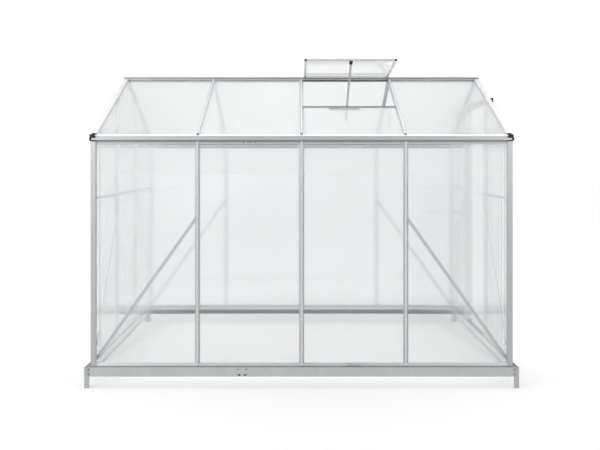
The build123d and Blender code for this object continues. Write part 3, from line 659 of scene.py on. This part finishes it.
def galvanised(name, colour):
    """Hot-dipped steel: pale blue-grey with a faint zinc spangle, and painted shade on its ledges and inner
    sides.
    """
    material, tree, output = new_material(name)
    cells = tree.add("ShaderNodeTexVoronoi", feature="F1")
    tree.feed(cells.inputs["Vector"], tree.place())
    cells.inputs["Scale"].default_value = SPANGLES_PER_M
    spangle = tree.add("ShaderNodeSeparateColor")
    tree.feed(spangle.inputs[0], cells.outputs["Color"])
    patches = place_group(tree, "handling", Size=5.0, Sharpness=0.22)
    shader = tree.add("ShaderNodeBsdfPrincipled")
    flecked = tree.mix_colour(spangle.outputs[0], darker(colour), darker(colour, FLECK_DARK))
    weathered = tree.mix_colour(patches, flecked, darker(colour, WEATHER_DARK))
    # Painted shade: ledges and inner sides below a rail's top are darkened in the colour itself
    finish = tree.mix_colour(painted_shade_places(tree), weathered, darker(colour, PAINTED_SHADE_DARK))
    tree.feed(shader.inputs["Base Color"], finish)
    shader.inputs["Metallic"].default_value = ZINC_METALLIC
    tree.feed(shader.inputs["Roughness"], tree.spread(spangle.outputs[1], *ZINC_ROUGH))
    bumped(tree, shader, spangle.outputs[0], strength=0.15, rise=SPANGLE_RISE)
    tree.feed(output.inputs["Surface"], shader.outputs[0])
    return material


def moulded_plastic(name, colour):
    """Black moulding with a fine matt grain."""
    material, tree, output = new_material(name)
    grain = place_group(tree, "handling", Size=1400.0, Sharpness=0.1)
    patches = place_group(tree, "handling", Size=40.0, Sharpness=0.2)
    shader = tree.add("ShaderNodeBsdfPrincipled")
    rubbed = tree.mix_colour(patches, darker(colour), darker(toned(colour, RUBBED_TONE)))
    tree.feed(shader.inputs["Base Color"], rubbed)
    tree.feed(shader.inputs["Roughness"], tree.spread(patches, *PLASTIC_ROUGH))
    bumped(tree, shader, grain, strength=0.3, rise=GRAIN_RISE)
    tree.feed(output.inputs["Surface"], shader.outputs[0])
    return material


def twin_wall(name, finish, across, slope, tint, bending):
    """Clear twin-wall sheet whose flutes, counted across an axis, blur what is behind it sideways."""
    material, tree, output = new_material(name)
    lean = place_group(
        tree,
        "flutes",
        Across=across,
        Pitch=finish.flute_pitch,
        Clear=finish.flute_clear,
        Slope=slope,
    )
    backfacing = tree.add("ShaderNodeNewGeometry").outputs["Backfacing"]
    side = tree.maths("MULTIPLY_ADD", backfacing, -2.0, 1.0)
    glass = tree.add("ShaderNodeBsdfPrincipled")
    glass.inputs["Base Color"].default_value = (*tint, 1.0)
    glass.inputs["Roughness"].default_value = SHEET_ROUGH
    glass.inputs["IOR"].default_value = bending
    glass.inputs["Transmission Weight"].default_value = 1.0
    tree.feed(glass.inputs["Normal"], leaned_normal(tree, tree.vector("SCALE", lean, side)))
    passing = tree.add("ShaderNodeBsdfTranslucent")
    passing.inputs["Color"].default_value = HAZE_COLOUR
    turned = tree.add("ShaderNodeBsdfDiffuse")
    turned.inputs["Color"].default_value = HAZE_COLOUR
    milk = tree.mix_shader(HAZE_TURNED_BACK, passing.outputs[0], turned.outputs[0])
    pane = tree.mix_shader(finish.sheet_haze, glass.outputs[0], milk)
    clear = tree.add("ShaderNodeBsdfTransparent")
    clear.inputs["Color"].default_value = SHADE_COLOUR
    lamps = tree.add("ShaderNodeLightPath").outputs["Is Shadow Ray"]
    tree.feed(output.inputs["Surface"], tree.mix_shader(lamps, pane, clear.outputs[0]))
    return material


def dress(nodes, material):
    """Puts a material on CAD nodes."""
    for name in nodes:
        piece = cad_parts[name]
        piece.data.materials.clear()
        piece.data.materials.append(material)


# Fasteners and lips


def add_bolt(mesh, spot, outward, width):
    """Washer and hexagon head with a chamfered top, standing on a face."""
    turn = Vector((0.0, 0.0, 1.0)).rotation_difference(Vector(outward)).to_matrix().to_4x4()
    place = Matrix.Translation(spot) @ turn
    washer_h, head_h = width * WASHER_H, width * HEAD_H
    corners, shoulder = width / math.sqrt(3.0), head_h - width * CHAMFER_H
    washer = [(width * WASHER_RADIUS, 0.0), (width * WASHER_RADIUS, washer_h)]
    head = [(corners, washer_h), (corners, shoulder), (corners * CHAMFER_TOP, head_h)]
    for sides, levels in ((WASHER_SIDES, washer), (HEAD_SIDES, head)):
        loops = []
        for reach, level in levels:
            loop = []
            for i in range(sides):
                angle = math.tau * i / sides
                corner = Vector((reach * math.cos(angle), reach * math.sin(angle), level))
                loop.append(mesh.verts.new(place @ corner))
            loops.append(loop)
        for lower, upper in zip(loops, loops[1:]):
            for i in range(sides):
                j = (i + 1) % sides
                mesh.faces.new((lower[i], lower[j], upper[j], upper[i]))
        mesh.faces.new(reversed(loops[0]))
        mesh.faces.new(loops[-1])


def new_piece(name, mesh, body, material):
    """Object of a mesh, which rides on a body and takes the given material."""
    data = bpy.data.meshes.new(name)
    mesh.to_mesh(data)
    mesh.free()
    piece = bpy.data.objects.new(name, data)
    bpy.context.scene.collection.objects.link(piece)
    data.materials.append(material)
    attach(piece, body)


def bolts_piece(name, spots, width, body, material):
    """Joined mesh of bolts, each given by its spot and the way that it points."""
    mesh = bmesh.new()
    for spot, outward in spots:
        add_bolt(mesh, spot, outward, width)
    new_piece(name, mesh, body, material)


def islands(name):
    """Boxes of the separate solids of a CAD node, as lowest and highest corners."""
    mesh = bmesh.new()
    mesh.from_mesh(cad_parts[name].data)
    bmesh.ops.remove_doubles(mesh, verts=mesh.verts, dist=WELD_REACH)
    reached = set()
    boxes = []
    for start in mesh.verts:
        if start in reached:
            continue
        reached.add(start)
        found = [start]
        for vert in found:
            for edge in vert.link_edges:
                other = edge.other_vert(vert)
                if other not in reached:
                    reached.add(other)
                    found.append(other)
        low = Vector(min(vert.co[i] for vert in found) for i in range(3))
        high = Vector(max(vert.co[i] for vert in found) for i in range(3))
        boxes.append((low, high))
    mesh.free()
    return boxes


def joint_plates():
    """Middle, half size, outward way and outer face of each plate over a rail's joint."""
    plates = []
    for low, high in islands("rail_joint_plates"):
        out = -1.0 if low.y < 0.0 else 1.0
        plates.append(((low + high) / 2, (high - low) / 2, out, low.y if out < 0.0 else high.y))
    return plates


def joint_bolt_spots():
    """Bolts along each eave plate, on the ledge before each sill plate, and round each base plate."""
    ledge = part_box("base_front_rail")[1].z
    spots = []
    for middle, half, out, face in joint_plates():
        if middle.z > EAVE_PLATES_ABOVE:
            places = [(along, face, middle.z, out, 0.0) for along in EAVE_PLATE_BOLTS]
        elif middle.z > ledge:
            places = [(along, face + out * SILL_BOLTS_OUT, ledge, 0.0, 1.0) for along in SILL_PLATE_BOLTS]
        else:
            rows = [middle.z + half.z * row for row in BASE_BOLT_ROWS]
            places = [(along, face, row, out, 0.0) for along in BASE_PLATE_BOLTS for row in rows]
        for along, y, z, out_y, up in places:
            spots.append(((middle.x + along, y, z), (0.0, out_y, up)))
    return spots


def nut_cap_spots():
    """Two black caps at the foot of each base plate."""
    spots = []
    for middle, half, out, face in joint_plates():
        if middle.z + half.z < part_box("base_front_rail")[1].z:
            for along in NUT_CAPS:
                spots.append(((middle.x + along, face, middle.z - half.z + NUT_CAPS_UP), (0.0, out, 0.0)))
    return spots


def leg_bolt_spots():
    """Two bolts by the inner edge of each flange of each leg."""
    spots = []
    base_low, base_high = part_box("base_end_rails")
    levels = [base_low.z + (base_high.z - base_low.z) * share for share in LEG_BOLT_LEVELS]
    for low, high in islands("ground_legs"):
        end, side = (1.0 if low.x > 0.0 else -1.0), (1.0 if low.y > 0.0 else -1.0)
        inner, outer = (low, high) if end > 0.0 else (high, low)
        near, far = (low, high) if side > 0.0 else (high, low)
        for level in levels:
            spots.append(((inner.x + end * LEG_BOLT_INSET, far.y, level), (0.0, side, 0.0)))
            spots.append(((outer.x, near.y + side * LEG_BOLT_INSET, level), (end, 0.0, 0.0)))
    return spots


def ledge_bolt_spots():
    """Bolts on the base's ledge at both corners of the door gable."""
    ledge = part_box("base_end_rails")[1]
    spots = []
    for side in (-1.0, 1.0):
        for inset, along in CORNER_BOLTS:
            spots.append(((ledge.x - inset, side * (ledge.y - along), ledge.z), (0.0, 0.0, 1.0)))
    return spots


def brace_bolt_spots():
    """Bolts through both ends of each flat brace, with their heads inside."""
    spots = []
    for node in BRACES:
        run, across = (1, 0) if node == "gable_braces" else (0, 1)
        for low, high in islands(node):
            outer, inner, end = (high, low, 1.0) if low[run] > 0.0 else (low, high, -1.0)
            face, way = (low[across], -1.0) if low[across] > 0.0 else (high[across], 1.0)
            inset = end * BRACE_BOLT_INSET
            foot = (outer[run] - inset, low.z + BRACE_BOLT_INSET)
            head = (inner[run] + inset, high.z - BRACE_BOLT_INSET)
            for reach, level in (foot, head):
                spot, outward = [0.0, 0.0, level], [0.0, 0.0, 0.0]
                spot[run], spot[across], outward[across] = reach, face, way
                spots.append((spot, outward))
    return spots


def add_lip(mesh, low, high, out, y, top):
    """Folded strip between two places along X, chamfered at its foot."""
    outer, fold = y + out * LIP_THICK, y + out * (LIP_THICK - LIP_FOLD)
    foot = top - LIP_DROP
    section = ((y, top), (outer, top), (outer, foot + LIP_FOLD), (fold, foot), (y, foot))
    left, right = ([mesh.verts.new((x, *point)) for point in section] for x in (low, high))
    for i in range(len(section)):
        j = (i + 1) % len(section)
        mesh.faces.new((left[i], left[j], right[j], right[i]))
    mesh.faces.new(left)
    mesh.faces.new(reversed(right))


def lips_piece(material):
    """Lips under both eaves, one before each wall sheet, clear of the bars and the corner posts."""
    mesh = bmesh.new()
    reach = min(abs(edge.x) for box in islands("corner_posts") for edge in box) - LIP_CLEAR
    for eave, sheets, out in LIP_SIDES:
        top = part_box(eave)[0].z
        for low, high in islands(sheets):
            face = (low if out < 0.0 else high).y + out * LIP_CLEAR
            left, right = max(low.x + LIP_INSET, -reach), min(high.x - LIP_INSET, reach)
            add_lip(mesh, left, right, out, face, top)
    bmesh.ops.recalc_face_normals(mesh, faces=mesh.faces)
    new_piece("eave_lips", mesh, FRAME_BODY, material)


# Operators


class GREENHOUSE_OT_aluminium(bpy.types.Operator):
    """Mill-finish aluminium on the extrusions, drawn along each piece"""

    bl_idname = "greenhouse.aluminium"
    bl_label = "Dress the extrusions"

    def execute(self, context):
        plain = context.scene.greenhouse_finish.aluminium
        for name, nodes, stretch, tone in EXTRUSIONS:
            dress(nodes, metal("aluminium_" + name, toned(plain, tone), stretch, SATIN, LINE_RISE))
        # The bars' colour is the plain aluminium lightened as a painted highlight, and their flanks get
        # painted shade
        bars = metal(
            "aluminium_bars",
            toned(plain, BAR_HIGHLIGHT_TONE),
            LINES_UPRIGHT,
            POLISHED,
            FINE_LINE_RISE,
            shape=rounded_bead,
            shade=bar_flanks,
            metallic=PALE_METALLIC,
        )
        dress(WALL_BARS, bars)
        dress(SILLS, metal("aluminium_sills", plain, LINES_ALONG_X, SATIN, LINE_RISE, shape=rolled_lip))
        dress(EAVES, metal("aluminium_eaves", plain, LINES_ALONG_X, SATIN, LINE_RISE, shade=under_gutter))
        # The braces take a darker copy of the plain aluminium
        brace_colour = toned(plain, BRACE_TONE)
        dress(BRACES, metal("aluminium_braces", brace_colour, LINES_ALL_WAYS, DULL_GREY, FINE_LINE_RISE))
        return {"FINISHED"}


class GREENHOUSE_OT_lips(bpy.types.Operator):
    """Folded lips under both eaves"""

    bl_idname = "greenhouse.lips"
    bl_label = "Add the eaves' lips"

    def execute(self, context):
        plain = context.scene.greenhouse_finish.aluminium
        lips_piece(metal("aluminium_lips", plain, LINES_ALONG_X, SATIN, LINE_RISE, metallic=PALE_METALLIC))
        return {"FINISHED"}


class GREENHOUSE_OT_base(bpy.types.Operator):
    """Galvanised steel on the base rails, legs and plates"""

    bl_idname = "greenhouse.base"
    bl_label = "Dress the steel base"

    def execute(self, context):
        finish = context.scene.greenhouse_finish
        dress(GALVANISED, galvanised("galvanised_steel", finish.galvanised))
        dress(LEGS, galvanised("galvanised_legs", toned(finish.galvanised, LEG_TONE)))
        return {"FINISHED"}


class GREENHOUSE_OT_caps(bpy.types.Operator):
    """Black moulded plastic on the end caps and the stay's fitting"""

    bl_idname = "greenhouse.caps"
    bl_label = "Dress the plastic caps"

    def execute(self, context):
        finish = context.scene.greenhouse_finish
        dress(BLACK_PLASTIC, moulded_plastic("black_plastic", finish.plastic))
        return {"FINISHED"}


class GREENHOUSE_OT_sheets(bpy.types.Operator):
    """Clear twin-wall sheets with their flutes upright or down the slope"""

    bl_idname = "greenhouse.sheets"
    bl_label = "Dress the sheets"

    def execute(self, context):
        finish = context.scene.greenhouse_finish
        steep, tint = finish.flute_slope, finish.sheet
        pale = [1.0 - (1.0 - channel) * PALE_TINT for channel in tint]
        sides = twin_wall("twin_wall_long_sides", finish, ACROSS_X, steep, tint, FULL_BEND)
        vent = twin_wall("twin_wall_vent", finish, ACROSS_X, steep * VENT_FLUTES, pale, SLIGHT_BEND)
        gables = twin_wall("twin_wall_gables", finish, ACROSS_Y, steep * GABLE_FLUTES, pale, SLIGHT_BEND)
        dress(SHEETS_ACROSS_X, sides)
        dress(VENT_SHEET, vent)
        dress(SHEETS_ACROSS_Y, gables)
        for name in SHEETS_ACROSS_X + SHEETS_ACROSS_Y + VENT_SHEET:
            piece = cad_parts[name]
            piece.modifiers.new("joined_corners", "WELD").merge_threshold = WELD_REACH
            gap = piece.modifiers.new("air_gap", "DISPLACE")
            gap.strength = -AIR_GAP
            gap.mid_level = 0.0
        return {"FINISHED"}


class GREENHOUSE_OT_fasteners(bpy.types.Operator):
    """Bolts on the joint plates, legs, base corners and braces, and the caps on the base plates"""

    bl_idname = "greenhouse.fasteners"
    bl_label = "Add the fasteners"

    def execute(self, context):
        finish = context.scene.greenhouse_finish
        zinc = metal("zinc_fasteners", finish.fastener, LINES_ALL_WAYS, BOLT_ROUGH, BOLT_LINE_RISE)
        pale = toned(finish.fastener, PALE_BOLT_TONE)
        pale_zinc = metal("pale_zinc_fasteners", pale, LINES_ALL_WAYS, PALE_BOLT_ROUGH, BOLT_LINE_RISE)
        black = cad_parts["eave_end_caps"].data.materials[0]
        steel, plastic = "galvanised_steel", "black_plastic"
        groups = (
            ("joint_bolts", joint_bolt_spots(), JOINT_BOLT, zinc, steel),
            ("leg_bolts", leg_bolt_spots(), LEG_BOLT, pale_zinc, steel),
            ("ledge_bolts", ledge_bolt_spots(), CORNER_BOLT, zinc, steel),
            ("brace_bolts", brace_bolt_spots(), BRACE_BOLT, zinc, steel),
            ("nut_caps", nut_cap_spots(), NUT_CAP, black, plastic),
        )
        for name, spots, share, material, slot in groups:
            bolts_piece(name, spots, finish.bolt_width * share, FRAME_BODY, material)
        return {"FINISHED"}


# Studio


def add_lamp(name, place, size, power):
    """Softbox aimed at the greenhouse."""
    data = bpy.data.lights.new(name, "AREA")
    data.shape = "RECTANGLE"
    data.size, data.size_y = size
    data.energy = power
    lamp = bpy.data.objects.new(name, data)
    lamp.location = place
    lamp.rotation_euler = (Vector(LAMP_AIM) - Vector(place)).to_track_quat("-Z", "Y").to_euler()
    lamp.visible_camera = False
    bpy.context.scene.collection.objects.link(lamp)


def studio_world(studio):
    """White studio, dim on the side behind the camera, with an even light."""
    world = bpy.data.worlds.new("white_studio")
    bpy.context.scene.world = world
    world.use_nodes = True
    world.node_tree.nodes.clear()
    tree = Tree(world.node_tree)
    rays = tree.add("ShaderNodeLightPath").outputs
    passed = rays["Is Transmission Ray"]
    plain = tree.maths("ADD", rays["Is Camera Ray"], passed, clamp=True)
    seen = tree.maths("ADD", plain, rays["Is Glossy Ray"], clamp=True)
    way = tree.parts(tree.add("ShaderNodeTexCoord").outputs["Generated"])
    side = tree.spread(way["X"], studio.left_grey, studio.right_grey, *LEFT_TO_RIGHT)
    front = tree.maths("MULTIPLY", side, tree.spread(way["Z"], 1.0, studio.high_grey, *LOW_TO_HIGH))
    back = tree.spread(way["Y"], front, 1.0, *FRONT_TO_BACK)
    low = tree.spread(way["Z"], studio.horizon_dim, 0.0, *HORIZON)
    middle = tree.maths("MULTIPLY", low, tree.spread(way["X"], 0.0, 1.0, *HORIZON_LEFT))
    dim = tree.maths("MULTIPLY", passed, middle)
    shown = tree.add("ShaderNodeBackground")
    tree.feed(shown.inputs["Strength"], tree.maths("SUBTRACT", tree.maths("MAXIMUM", back, plain), dim))
    light = tree.add("ShaderNodeBackground")
    light.inputs["Strength"].default_value = studio.sky_light
    output = tree.add("ShaderNodeOutputWorld")
    for background in (shown, light):
        background.inputs["Color"].default_value = (1.0, 1.0, 1.0, 1.0)
    tree.feed(output.inputs["Surface"], tree.mix_shader(seen, light.outputs[0], shown.outputs[0]))


def studio_floor(studio):
    """White floor that keeps the object's shadow, darker where it is seen inside through the sheets."""
    half = studio.floor_size / 2
    data = bpy.data.meshes.new("studio_floor")
    corners = [(-half, -half, 0.0), (half, -half, 0.0), (half, half, 0.0), (-half, half, 0.0)]
    data.from_pydata(corners, [], [(0, 1, 2, 3)])
    floor = bpy.data.objects.new("studio_floor", data)
    bpy.context.scene.collection.objects.link(floor)
    material, tree, output = new_material("white_floor")
    rays = tree.add("ShaderNodeLightPath").outputs
    passed = rays["Is Transmission Ray"]
    place = tree.place()
    along = tree.parts(place)
    behind = tree.spread(along["Y"], 0.0, 1.0, *FLOOR_BEHIND)
    bounced = tree.maths("SUBTRACT", rays["Is Glossy Ray"], passed, clamp=True)
    mirrored = tree.maths("MULTIPLY", bounced, behind)
    inside = tree.vector("LENGTH", tree.vector("SUBTRACT", place, FLOOR_INSIDE))
    beyond = tree.spread(along["X"], *FLOOR_BEYOND_LIFT, *FLOOR_BEYOND)
    shaded = tree.spread(inside, 1.0 - studio.inside_shade, beyond, *FLOOR_INSIDE_EDGE)
    through = tree.maths("MULTIPLY", passed, shaded)
    shown = tree.maths("MAXIMUM", rays["Is Camera Ray"], through)
    seen = tree.maths("MAXIMUM", shown, mirrored)
    distance = tree.vector("LENGTH", tree.vector("SUBTRACT", place, LAMP_POOL))
    square = tree.maths("MULTIPLY", distance, distance)
    near = tree.maths("DIVIDE", 1.0, tree.maths("ADD", tree.maths("DIVIDE", square, LAMP_POOL_AREA), 1.0))
    glow = tree.maths("SUBTRACT", studio.floor_glow, tree.maths("MULTIPLY", near, studio.lamp_pool))
    shader = tree.add("ShaderNodeBsdfPrincipled")
    shader.inputs["Base Color"].default_value = (*[studio.floor_grey] * 3, 1.0)
    shader.inputs["Roughness"].default_value = 0.9
    shader.inputs["Specular IOR Level"].default_value = 0.0
    shader.inputs["Emission Color"].default_value = (1.0, 1.0, 1.0, 1.0)
    tree.feed(shader.inputs["Emission Strength"], tree.maths("MULTIPLY", seen, glow))
    tree.feed(output.inputs["Surface"], shader.outputs[0])
    data.materials.append(material)


class GREENHOUSE_OT_studio(bpy.types.Operator):
    """Camera at the photograph's place, white floor, world and softboxes"""

    bl_idname = "greenhouse.studio"
    bl_label = "Build the studio"

    def execute(self, context):
        studio = context.scene.greenhouse_studio
        data = bpy.data.cameras.new("camera")
        data.sensor_width = 36.0
        data.lens = studio.lens
        data.shift_y = studio.shift
        data.clip_end = studio.floor_size * 2
        camera = bpy.data.objects.new("camera", data)
        camera.location = studio.camera_place
        camera.rotation_euler = (math.radians(90.0), 0.0, 0.0)
        context.scene.collection.objects.link(camera)
        context.scene.camera = camera
        studio_world(studio)
        studio_floor(studio)
        add_lamp("overhead_softbox", OVERHEAD_PLACE, OVERHEAD_SIZE, studio.overhead)
        add_lamp("left_softbox", LEFT_PLACE, FILL_SIZE, studio.left_fill)
        add_lamp("right_softbox", RIGHT_PLACE, FILL_SIZE, studio.right_fill)
        context.scene.view_settings.view_transform = "Standard"
        return {"FINISHED"}


STEPS = (
    GREENHOUSE_OT_aluminium,
    GREENHOUSE_OT_lips,
    GREENHOUSE_OT_base,
    GREENHOUSE_OT_caps,
    GREENHOUSE_OT_sheets,
    GREENHOUSE_OT_fasteners,
    GREENHOUSE_OT_studio,
)


class GREENHOUSE_PT_dresser(bpy.types.Panel):
    """Finishes and steps of the greenhouse"""

    bl_idname = "GREENHOUSE_PT_dresser"
    bl_label = "Greenhouse"
    bl_space_type = "VIEW_3D"
    bl_region_type = "UI"
    bl_category = "Greenhouse"

    def draw(self, context):
        for step in STEPS:
            self.layout.operator(step.bl_idname)
        for group in (context.scene.greenhouse_finish, context.scene.greenhouse_studio):
            for name in type(group).__annotations__:
                self.layout.prop(group, name)


CLASSES = (GreenhouseFinish, GreenhouseStudio, *STEPS, GREENHOUSE_PT_dresser)


def register():
    for cls in CLASSES:
        bpy.utils.register_class(cls)
    bpy.types.Scene.greenhouse_finish = PointerProperty(type=GreenhouseFinish)
    bpy.types.Scene.greenhouse_studio = PointerProperty(type=GreenhouseStudio)


def unregister():
    del bpy.types.Scene.greenhouse_studio
    del bpy.types.Scene.greenhouse_finish
    for cls in reversed(CLASSES):
        bpy.utils.unregister_class(cls)


def main():
    register()
    bpy.ops.greenhouse.aluminium()
    bpy.ops.greenhouse.lips()
    bpy.ops.greenhouse.base()
    bpy.ops.greenhouse.caps()
    bpy.ops.greenhouse.sheets()
    bpy.ops.greenhouse.fasteners()
    bpy.ops.greenhouse.studio()


if __name__ == "__main__":
    main()
